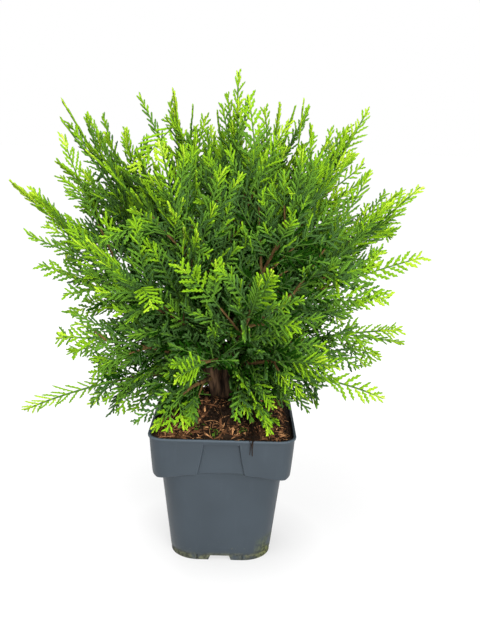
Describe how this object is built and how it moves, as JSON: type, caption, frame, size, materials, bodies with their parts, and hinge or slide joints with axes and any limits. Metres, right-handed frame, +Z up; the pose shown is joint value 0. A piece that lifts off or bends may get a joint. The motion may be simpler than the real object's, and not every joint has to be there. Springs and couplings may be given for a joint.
{
  "type": "potted woodwardii arborvitae",
  "caption": "Young globe-shaped evergreen conifer with flat scale-leaf sprays on many upright stems, in a square tapered nursery pot with a deep rim.",
  "frame": {"origin": "centre of the pot's flat underside, on the surface the pot stands on", "axes": "+Z up along the plant, +X to the right and +Y away from the viewer as the picture shows it, so the pot's label panel faces -Y"},
  "size_m": [0.3817, 0.3208, 0.4317],
  "materials": {
    "pot": "moulded slate-grey plastic, satin",
    "soil": "damp bark mulch and peat, matte",
    "bark": "thin red-brown fibrous bark, matte",
    "foliage": "flat sprays of scale leaves, satin green with lime tips"
  },
  "bodies": {
    "root": {"pot": "pot", "root_ball": "soil", "stem_clump": "bark", "bough_skirt_1": "bark", "bough_skirt_2": "bark", "bough_skirt_3": "bark", "bough_skirt_4": "bark", "bough_skirt_5": "bark", "bough_skirt_6": "bark", "bough_low_1": "bark", "bough_low_2": "bark", "bough_low_3": "bark", "bough_low_4": "bark", "bough_low_5": "bark", "bough_low_6": "bark", "bough_low_7": "bark", "bough_shoulder_1": "bark", "bough_shoulder_2": "bark", "bough_shoulder_3": "bark", "bough_shoulder_4": "bark", "bough_shoulder_5": "bark", "bough_shoulder_6": "bark", "bough_shoulder_7": "bark", "bough_high_1": "bark", "bough_high_2": "bark", "bough_high_3": "bark", "bough_high_4": "bark", "bough_high_5": "bark", "bough_leader_1": "bark", "bough_leader_2": "bark", "bough_leader_3": "bark", "foliage_skirt_1": "foliage", "foliage_skirt_2": "foliage", "foliage_skirt_3": "foliage", "foliage_skirt_4": "foliage", "foliage_skirt_5": "foliage", "foliage_skirt_6": "foliage", "foliage_low_1": "foliage", "foliage_low_2": "foliage", "foliage_low_3": "foliage", "foliage_low_4": "foliage", "foliage_low_5": "foliage", "foliage_low_6": "foliage", "foliage_low_7": "foliage", "foliage_shoulder_1": "foliage", "foliage_shoulder_2": "foliage", "foliage_shoulder_3": "foliage", "foliage_shoulder_4": "foliage", "foliage_shoulder_5": "foliage", "foliage_shoulder_6": "foliage", "foliage_shoulder_7": "foliage", "foliage_high_1": "foliage", "foliage_high_2": "foliage", "foliage_high_3": "foliage", "foliage_high_4": "foliage", "foliage_high_5": "foliage", "foliage_leader_1": "foliage", "foliage_leader_2": "foliage", "foliage_leader_3": "foliage"}
  },
  "joints": []
}
